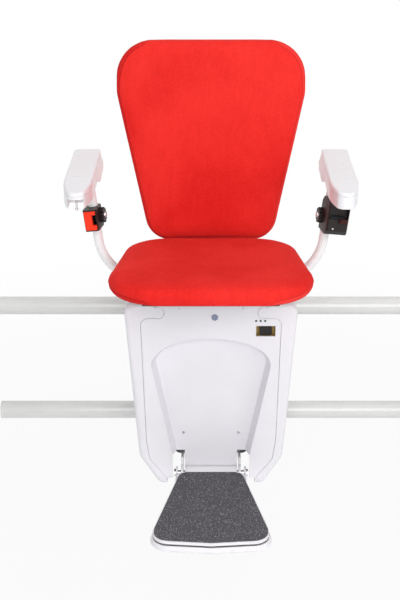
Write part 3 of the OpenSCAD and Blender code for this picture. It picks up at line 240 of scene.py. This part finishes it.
def speckled(name, colour):
    finish = Finish(name, colour, 0.8, Specular_IOR_Level=0.35)
    where = finish.place()
    chips = finish.node("ShaderNodeTexVoronoi", None, {"Vector": where, "Scale": 640})
    pick = finish.node("ShaderNodeSeparateColor", None, {"Color": chips.out("Color")}).out("Red")
    pale = pick.above(0.88) * chips.out("Distance").ramp(0.6, 0.3)
    fine = finish.grain(620, 3, 0.6, where)
    ground = finish.blend(fine.ramp(0.3, 0.7), finish.shade(0.7), finish.shade(1.3))
    finish.give("Base Color", finish.blend(pale * 0.8, ground, (0.66, 0.65, 0.66)))
    finish.bump(fine * 0.6 + pale * 0.4, 0.0005, 0.9)
    return finish


def lens(name, colour):
    finish = Finish(name, colour, 0.12, Coat_Weight=0.8, Coat_Roughness=0.05)
    finish.give("Base Color", finish.blend(finish.cells(900).ramp(0.1, 0.6), finish.shade(1.5), finish.shade(0.7)))
    return finish


finishes = {
    "white_paint": painted("whitePaint", (0.80, 0.80, 0.83), 0.3, Coat_Weight=0.25, Coat_Roughness=0.15),
    "white_plastic": moulded("whiteGloss", (0.80, 0.79, 0.815), 0.3, 500, 0.00002, 0.02, Coat_Weight=0.2,
                             Coat_Roughness=0.1),
    "dark_steel": painted("darkSteel", (0.05, 0.05, 0.055), 0.42),
    "bright_steel": machined("brightSteel", (0.72, 0.72, 0.74), 0.28),
    "rack_steel": machined("rackSteel", (0.32, 0.32, 0.33), 0.45, (0.2, 1, 1)),
    "roller_plastic": moulded("rollerPlastic", (0.03, 0.035, 0.04), 0.4),
    "cast_alloy": machined("castAlloy", (0.5, 0.5, 0.52), 0.5),
    "motor_paint": painted("motorPaint", (0.02, 0.02, 0.022), 0.35),
    "battery_case": moulded("batteryCase", (0.02, 0.02, 0.022), 0.5),
    "board_green": moulded("boardGreen", (0.02, 0.16, 0.06), 0.35),
    "light_lens": lens("lightLens", (0.02, 0.10, 0.05)),
    "button_grey": moulded("buttonGrey", (0.22, 0.25, 0.36), 0.35, Coat_Weight=0.3, Coat_Roughness=0.1),
    "bezel_ochre": moulded("bezelOchre", (0.52, 0.36, 0.10), 0.4),
    "black_plastic": moulded("blackPlastic", (0.012, 0.008, 0.008), 0.46, 700, 0.00008, Specular_IOR_Level=0.32),
    "mat_rubber": speckled("matRubber", (0.085, 0.082, 0.093)),
    "black_rubber": moulded("blackRubber", (0.015, 0.015, 0.015), 0.7, 500, 0.0001),
    "red_velour": velour("redVelour", (0.82, 0.03, 0.026)),
    "red_key": moulded("redKey", (0.96, 0.042, 0.010), 0.42, Specular_IOR_Level=0.25),
    "tongue_brown": moulded("tongueBrown", (0.04, 0.009, 0.007), 0.5, Specular_IOR_Level=0.2),
}
ownFinish = {  # pieces whose finish differs from the rest of their slot
    "cover": moulded("coverWhite", (0.80, 0.79, 0.83), 0.42, 420, 0.00004, 0.04),
    "rail": painted("railPaint", (0.68, 0.69, 0.675), 0.24, 0.00001, Coat_Weight=0.3, Coat_Roughness=0.12),
    "tube": painted("tubePaint", (0.88, 0.88, 0.885), 0.24, 0.00001, Coat_Weight=0.3, Coat_Roughness=0.1),
}
print("finishes made:", len(finishes) + len(ownFinish))


# Pieces

def settle(piece, node, finish=None, others=()):
    piece.data.materials.clear()
    piece.data.materials.append((finish or finishes[slotOf[node]]).material)
    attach(piece, bodyOf[node])
    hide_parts(node, *others)
    return piece


def made(name, mesh):
    data = bpy.data.meshes.new(name)
    mesh.to_mesh(data)
    mesh.free()
    piece = bpy.data.objects.new(name, data)
    bpy.context.scene.collection.objects.link(piece)
    return piece


def joined(node):  # the node's loose triangles, merged, with its flat faces whole
    mesh = bmesh.new()
    mesh.from_mesh(nodes[node].data)
    bmesh.ops.remove_doubles(mesh, verts=mesh.verts, dist=0.000002)
    bmesh.ops.dissolve_limit(mesh, angle_limit=math.radians(0.4), verts=mesh.verts, edges=mesh.edges)
    for layer in list(mesh.loops.layers.uv.values()):
        mesh.loops.layers.uv.remove(layer)
    return mesh


def smoothed(piece, edge=0.0008, angle=35, segments=2):
    data = piece.data
    if "custom_normal" in data.attributes:
        data.attributes.remove(data.attributes["custom_normal"])
    data.shade_smooth()
    if edge:
        soft = piece.modifiers.new("softEdge", "BEVEL")
        soft.width = edge
        soft.segments = segments
        soft.limit_method = "ANGLE"
        soft.angle_limit = math.radians(angle)
        soft.harden_normals = True
        soft.use_clamp_overlap = True
    else:
        data.set_sharp_from_angle(angle=math.radians(angle))
    return piece


def dressed(node, edge=0.0008, angle=35, finish=None, segments=2):
    return settle(smoothed(made(node + "_skin", joined(node)), edge, angle, segments), node, finish)


softEdges = {  # edge radius of each dressed node, in metres
    "upper_rail": 0.0006, "lower_rail": 0.0006, "hinge_brackets": 0.0008, "hinge_fairing": 0.001,
    "footrest_arms": 0.001, "footrest_plate": 0.0008, "footrest_mat": 0.0006, "safety_pan": 0.0008,
    "swivel_plate": 0.001, "seat_frame": 0.001, "seat_buffers": 0.0015, "back_brackets": 0.0012,
    "back_shell": 0.002, "arm_knuckles": 0.0012, "seat_pan": 0.0015, "arm_shell_left": 0.0016,
    "arm_shell_right": 0.0016, "buckle_housing": 0.0012, "buckle_button": 0.0008, "reel_housing": 0.0016,
    "belt_tongue": 0.001, "belt_knobs": 0.001, "rocker_switch": 0.0006, "switch_bezel": 0.0003,
    "power_button": 0.0006, "seat_post": 0.0008,
}
ownOf = {"upper_rail": "rail", "lower_rail": "rail", "arm_tube_left": "tube", "arm_tube_right": "tube"}
covers = {node: 0.0006 for node in ("cover_centre", "cover_left", "cover_right", "cover_top", "cover_rear")}


def dressFrame():
    for node, edge in softEdges.items():
        dressed(node, edge, finish=ownFinish.get(ownOf.get(node)))
    for node, edge in covers.items():
        dressed(node, edge, finish=ownFinish["cover"])
    for name, thing in nodes.items():
        if not thing.hide_render:
            for spot in thing.material_slots:
                spot.material = ownFinish.get(ownOf.get(name), finishes[slotOf[name]]).material
            if not thing.material_slots:
                thing.data.materials.append(ownFinish.get(ownOf.get(name), finishes[slotOf[name]]).material)
    print("frame dressed")


# Cushions

def finalMesh(piece):
    bpy.context.view_layer.update()
    graph = bpy.context.evaluated_depsgraph_get()
    data = bpy.data.meshes.new_from_object(piece.evaluated_get(graph))
    piece.modifiers.clear()
    old = piece.data
    piece.data = data
    bpy.data.meshes.remove(old)
    return data


cloth = {  # the cover under pressure: its stiffness, how far it may move, and how it is evened out
    "stiffness": 14, "bending": 0.6, "mass": 0.3, "pressure": 4, "quality": 5, "frames": 20, "reach": 0.007,
    "pinned": 0.004, "even": 0.5, "afterwards": 7, "atLast": 3,
}
sewing = {  # groove and rolls beside a seam, and where the mesh is made finer
    "grooveWidth": 0.0018, "grooveDepth": 0.0013, "rollHeight": 0.0006, "rollAway": 2.6, "rollWide": 1.7,
    "puckers": 60, "pucker": 0.4, "stitch": 0.001, "widest": 0.02, "fine": (0.012, 0.005), "ripple": 4,
}


def evened(data, passes):
    mesh = bmesh.new()
    mesh.from_mesh(data)
    for step in range(passes):
        bmesh.ops.smooth_vert(mesh, verts=mesh.verts, factor=cloth["even"],
                              use_axis_x=True, use_axis_y=True, use_axis_z=True)
    mesh.to_mesh(data)
    mesh.free()
    data.update()


def clothMoved(piece, recipe):  # the cover blown up over a few frames, pinned where the cushion rests
    rest = [v.co.copy() for v in piece.data.vertices]
    pin = piece.vertex_groups.new(name="pin")
    along, level = recipe["bed"]
    margin = recipe["shrink"] + cloth["pinned"]
    pin.add([v.index for v in piece.data.vertices if abs(v.co[along] - level) < margin], 1, "REPLACE")
    fill = piece.modifiers.new("fill", "CLOTH")
    fill.settings.quality = cloth["quality"]
    fill.settings.mass = cloth["mass"]
    fill.settings.tension_stiffness = cloth["stiffness"]
    fill.settings.compression_stiffness = cloth["stiffness"]
    fill.settings.shear_stiffness = cloth["stiffness"] / 3
    fill.settings.bending_stiffness = cloth["bending"]
    fill.settings.use_pressure = True
    fill.settings.uniform_pressure_force = cloth["pressure"]
    fill.settings.vertex_group_mass = "pin"
    fill.settings.effector_weights.gravity = 0
    fill.point_cache.frame_start = 1
    fill.point_cache.frame_end = cloth["frames"]
    for step in range(1, cloth["frames"] + 1):
        bpy.context.scene.frame_set(step)
    data = finalMesh(piece)
    bpy.context.scene.frame_set(1)
    piece.vertex_groups.clear()
    for vertex, before in zip(data.vertices, rest):
        move = vertex.co - before
        if move.length > cloth["reach"]:
            vertex.co = before + move.normalized() * cloth["reach"]
    evened(data, cloth["afterwards"])
    return data


def inflate(piece, recipe):  # then held to the size of the CAD cushion
    low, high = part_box(recipe["node"])
    remesh = piece.modifiers.new("even", "REMESH")
    remesh.mode = "VOXEL"
    remesh.voxel_size = recipe["voxel"]
    data = finalMesh(piece)
    evened(data, recipe["evening"])
    for vertex, normal in zip(data.vertices, [v.normal.copy() for v in data.vertices]):
        vertex.co -= normal * recipe["shrink"]
    data = clothMoved(piece, recipe)
    corners = [v.co for v in data.vertices]
    least = Vector([min(c[i] for c in corners) for i in range(3)])
    most = Vector([max(c[i] for c in corners) for i in range(3)])
    for vertex in data.vertices:
        for i in range(3):
            vertex.co[i] = low[i] + (vertex.co[i] - least[i]) / (most[i] - least[i]) * (high[i] - low[i])


class Round:  # rays that run in to a cushion from all round its outline
    def __init__(self, recipe, steps=720):
        low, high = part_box(recipe["node"])
        self.centre = (low + high) / 2
        self.along, self.across = recipe["plane"]  # the two axes that the cushion's outline lies in
        self.deep, self.bed = recipe["bed"]
        self.levels = [low[self.deep] + (high[self.deep] - low[self.deep]) * k / 10 for k in range(1, 10)]
        self.flip = -recipe["from"]
        self.steps = steps
        self.outside = 0.7  # a ray starts this far from the middle
        self.ways = []
        for i in range(steps):
            way = Vector((0, 0, 0))
            way[self.along] = math.sin(2 * math.pi * i / steps)
            way[self.across] = self.flip * math.cos(2 * math.pi * i / steps)
            self.ways.append(way)

    def reach(self, tree, way, level):
        start = self.centre + way * self.outside
        start[self.deep] = level
        return tree.ray_cast(start, -way)[0]

    def rim(self, tree):
        spots = [[self.reach(tree, way, level) for level in self.levels] for way in self.ways]
        return [max((spot - self.centre).dot(way) for spot in row if spot) for row, way in zip(spots, self.ways)]

    def turn(self, place):  # where round the outline a place lies, counted in rays
        off = place - self.centre
        return math.atan2(off[self.along], self.flip * off[self.across]) / (2 * math.pi) * self.steps % self.steps


def refit(piece, recipe):  # the outline that the cloth has lost, taken from the CAD cushion
    ring = Round(recipe)
    mesh = joined(recipe["node"])
    firm = BVHTree.FromBMesh(mesh)
    wanted = ring.rim(firm)
    mesh.free()
    mesh = bmesh.new()
    mesh.from_mesh(piece.data)
    found = ring.rim(BVHTree.FromBMesh(mesh))
    mesh.free()
    for middle, half, depth in recipe["trims"]:  # shares of the way round, and how far the corner is drawn in
        for i in range(ring.steps):
            wanted[i] -= depth * max(0, math.cos(min(1, abs(i / ring.steps - middle) / half) * math.pi / 2)) ** 2
    ratios = [a / b for a, b in zip(wanted, found)]
    soft = [sum(ratios[(i + k) % ring.steps] for k in range(-4, 5)) / 9 for i in range(ring.steps)]
    for vertex in piece.data.vertices:
        spot = ring.turn(vertex.co)
        i = int(spot)
        share = spot - i
        here = soft[i % ring.steps] * (1 - share) + soft[(i + 1) % ring.steps] * share
        off = vertex.co - ring.centre
        off[ring.deep] = 0
        near = min(1, off.length / found[i % ring.steps]) ** 4
        vertex.co += off * (here - 1) * near
    for vertex in piece.data.vertices:
        vertex.co = vertex.co.lerp(firm.find_nearest(vertex.co)[0], recipe["hold"])
    evened(piece.data, cloth["atLast"])


def seamRun(tree, recipe):  # the seam's line round the cushion, found on its own surface
    ring = Round(recipe)
    rim = [ring.reach(tree, way, ring.centre[ring.deep]) for way in ring.ways]
    gone, levels = 0.0, []
    for i in range(ring.steps // 2 + 1):  # from the middle of the wrapped edge, round one side
        if i and abs(rim[i].x) > recipe["seamStart"]:
            gone += (rim[i] - rim[i - 1]).length
        levels.append(heightOn(recipe["seam"], gone) if gone else None)
    levels += levels[-2:0:-1]
    line = [ring.reach(tree, way, level) if level is not None else None for way, level in zip(ring.ways, levels)]
    eased = []
    for i, point in enumerate(line):  # small ripples of the cloth don't show in a sewn line
        near = [line[(i + k) % ring.steps] for k in range(-sewing["ripple"], sewing["ripple"] + 1)] if point else []
        near = [p for p in near if p]
        eased.append(sum(near, Vector()) / len(near) if near else None)
    return ring, eased, levels


def heightOn(profile, gone):  # profile of distance and level, straight between its points
    for (a, levelA), (b, levelB) in zip(profile, profile[1:]):
        if gone <= b:
            share = (gone - a) / (b - a)
            share = share * share * (3 - 2 * share)
            return levelA + (levelB - levelA) * share
    return profile[-1][1]


def sewn(piece, recipe):
    mesh = bmesh.new()
    mesh.from_mesh(piece.data)
    mesh.normal_update()
    ring, line, levels = seamRun(BVHTree.FromBMesh(mesh), recipe)
    points = []
    for a, b in zip(line, line[1:] + line[:1]):
        if a and b:
            count = max(1, int((b - a).length / sewing["stitch"]))
            points += [a.lerp(b, k / count) for k in range(count)]
    tree = kdtree.KDTree(len(points))
    for i, point in enumerate(points):
        tree.insert(point, i)
    tree.balance()
    for reach in sewing["fine"]:  # more faces only beside the seams
        near = [e for e in mesh.edges if min(tree.find(v.co)[2] for v in e.verts) < reach]
        bmesh.ops.subdivide_edges(mesh, edges=near, cuts=1, use_grid_fill=True)
        bmesh.ops.triangulate(mesh, faces=[f for f in mesh.faces if len(f.verts) > 4])
    mesh.normal_update()
    fromSeam = mesh.verts.layers.float.new("fromSeam")
    wide = sewing["grooveWidth"]
    moves = []
    for vertex in mesh.verts:
        spot, index, away = tree.find(vertex.co)
        level = levels[int(ring.turn(vertex.co)) % ring.steps]
        behind = level is not None and abs(vertex.co[ring.deep] - ring.bed) < abs(level - ring.bed)
        vertex[fromSeam] = min(away, sewing["widest"]) * (1 if behind else -1)
        groove = math.exp(-(away / wide) ** 2)
        roll = math.exp(-((away / wide - sewing["rollAway"]) / sewing["rollWide"]) ** 2)
        pucker = noise.noise(spot * sewing["puckers"]) * sewing["pucker"] + 1
        moves.append(vertex.normal * (roll * sewing["rollHeight"] * pucker - groove * sewing["grooveDepth"]))
    for vertex, move in zip(mesh.verts, moves):
        vertex.co += move
    mesh.to_mesh(piece.data)
    mesh.free()
    return piece


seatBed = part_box("seat_cushion")[0].z
seatRecipe = {
    "node": "seat_cushion", "voxel": 0.005, "evening": 8, "hold": 0.8, "shrink": 0.003, "fill": 0.7,
    "bed": (2, seatBed), "plane": (0, 1), "from": 1, "seamStart": 0.127, "trims": [],
    "seam": [(0, seatBed + 0.001), (0.006, seatBed + 0.010), (0.02, seatBed + 0.015), (0.06, seatBed + 0.018),
             (0.12, seatBed + 0.022), (0.3, seatBed + 0.023)],
}

backFace, backBed = (corner.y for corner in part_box("back_cushion"))
backRecipe = {
    "node": "back_cushion", "voxel": 0.005, "evening": 12, "hold": 0.6, "shrink": 0.004, "fill": 0.7,
    "bed": (1, backBed), "plane": (0, 2), "from": -1, "seamStart": 0.13,
    "trims": [(0.12, 0.06, 0.003), (0.88, 0.06, 0.003)],
    "seam": [(0, backBed - 0.002), (0.008, backBed - 0.022), (0.03, backFace + 0.0105), (0.09, backFace + 0.0105),
             (0.13, backFace + 0.012), (0.3, backFace + 0.012)],
}


def makeCushion(name, recipe):
    piece = inflateFrom(name, recipe)
    sewn(piece, recipe)
    piece.data.shade_smooth()
    settle(piece, recipe["node"])
    print(name, "sewn:", len(piece.data.polygons), "faces")
    return piece


def inflateFrom(name, recipe):
    piece = made(name, joined(recipe["node"]))
    inflate(piece, recipe)
    refit(piece, recipe)
    rounder = piece.modifiers.new("rounder", "SUBSURF")
    rounder.levels = 1
    rounder.render_levels = 1
    finalMesh(piece)
    return piece


# Arm pads: the front third of the cap dips towards the nose

padRecipe = {"frontSeam": 0.118, "rim": 0.005, "dip": 0.035, "edge": 0.001}


def makePad(side, recipe):
    node = "arm_cap_" + side
    low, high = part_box(node)
    mesh = joined(node)
    seam = low.y + recipe["frontSeam"]
    bmesh.ops.bisect_plane(mesh, geom=mesh.verts[:] + mesh.edges[:] + mesh.faces[:], dist=0.00001,
                           plane_co=(0, seam, 0), plane_no=(0, 1, 0))
    for vertex in mesh.verts:
        if vertex.co.z > high.z - recipe["rim"] and vertex.co.y < seam:
            vertex.co.z -= (seam - vertex.co.y) * recipe["dip"]
    piece = smoothed(made(node + "_skin", mesh), recipe["edge"], 15, 2)
    return settle(piece, node)


def sunkHeads(node, hole, depth, edge=0.0003):  # a socket in every screw head that faces the front
    mesh = joined(node)
    heads = [f for f in mesh.faces if f.normal.y < -0.99 and len(f.verts) > 12]
    bmesh.ops.inset_individual(mesh, faces=heads, thickness=hole, depth=0, use_even_offset=True)
    bmesh.ops.inset_individual(mesh, faces=heads, thickness=0.0001, depth=-depth, use_even_offset=True)
    return settle(smoothed(made(node + "_skin", mesh), edge, 40), node)


mouldMarks = {  # small round marks that the mould leaves on the cover: radius, height and places
    "radius": 0.0021, "proud": 0.0005, "recess": 0.027,
    "places": [(-0.101, -0.038), (0.101, -0.038), (-0.081, -0.236), (0.081, -0.236)],
    "hookPlaces": [(-0.1205, 0.076), (0.1205, 0.076)],
}


def makeMarks(recipe):
    mesh = bmesh.new()
    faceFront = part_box("cover_centre")[0].y
    floorBack = faceFront + recipe["recess"]
    spots = [(x, floorBack, z) for x, z in recipe["places"]] + [(x, faceFront, z) for x, z in recipe["hookPlaces"]]
    for spot in spots:
        dome = bmesh.ops.create_uvsphere(mesh, u_segments=16, v_segments=8, radius=recipe["radius"])["verts"]
        bmesh.ops.scale(mesh, vec=(1, recipe["proud"] / recipe["radius"], 1), verts=dome)
        bmesh.ops.translate(mesh, vec=spot, verts=dome)
    piece = made("mouldMarks", mesh)
    piece.data.shade_smooth()
    piece.data.materials.append(ownFinish["cover"].material)
    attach(piece, bodyOf["cover_centre"])
    return piece


stage = {"radius": 14, "level": -0.75, "pool": (0.9, 3.2), "glow": 0.86, "world": 0.5}  # pool: where shadows show


def makeStage():
    mesh = bmesh.new()
    bmesh.ops.create_circle(mesh, cap_ends=True, radius=stage["radius"], segments=96)
    bmesh.ops.translate(mesh, verts=mesh.verts, vec=(0, 0, stage["level"]))
    floor = made("studioFloor", mesh)
    finish = Finish("floorPale", (0.86, 0.86, 0.87), 0.7)
    path = finish.node("ShaderNodeLightPath")
    seen = path.out("Is Camera Ray").work("MAXIMUM", path.out("Is Camera Ray"), path.out("Is Glossy Ray"))
    seen = seen.work("MAXIMUM", seen, path.out("Is Transmission Ray"))
    middle = finish.node("ShaderNodeVectorMath", {"operation": "LENGTH"}, {0: finish.place()}).out("Value")
    share = seen * (middle.ramp(*stage["pool"]) * (1 - stage["glow"]) + stage["glow"])
    glow = finish.node("ShaderNodeEmission", None, {"Color": (1, 1, 1, 1), "Strength": 1.0})
    lit = Term(finish, finish.shader.outputs[0])
    mixed = finish.node("ShaderNodeMixShader", None, {0: share, 1: lit, 2: glow.out()})
    finish.feed(finish.tree.nodes["Material Output"].inputs["Surface"], mixed.out())
    floor.data.materials.append(finish.material)
    return floor


def makeWorld(level):
    world = bpy.data.worlds.new("studio")
    bpy.context.scene.world = world
    world.use_nodes = True
    tree = world.node_tree
    path = tree.nodes.new("ShaderNodeLightPath")
    seen = tree.nodes.new("ShaderNodeMath")
    seen.operation = "MAXIMUM"
    tree.links.new(path.outputs["Is Camera Ray"], seen.inputs[0])
    tree.links.new(path.outputs["Is Transmission Ray"], seen.inputs[1])
    both = tree.nodes.new("ShaderNodeMath")
    both.operation = "MAXIMUM"
    tree.links.new(seen.outputs[0], both.inputs[0])
    tree.links.new(path.outputs["Is Glossy Ray"], both.inputs[1])
    strength = tree.nodes.new("ShaderNodeMapRange")
    strength.inputs["To Min"].default_value = level
    strength.inputs["To Max"].default_value = 1.0
    tree.links.new(both.outputs[0], strength.inputs["Value"])
    background = tree.nodes["Background"]
    background.inputs["Color"].default_value = (1, 1, 1, 1)
    tree.links.new(strength.outputs[0], background.inputs["Strength"])


bpy.context.scene.view_settings.view_transform = "Standard"
placeCamera(cameraSpot)
placeLamps(softboxes)
makeWorld(stage["world"])
makeStage()
makeCushion("seatCushion", seatRecipe)
makeCushion("backCushion", backRecipe)
for side in ("left", "right"):
    makePad(side, padRecipe)
sunkHeads("panel_screws", 0.0012, 0.001)
makeMarks(mouldMarks)
dressFrame()
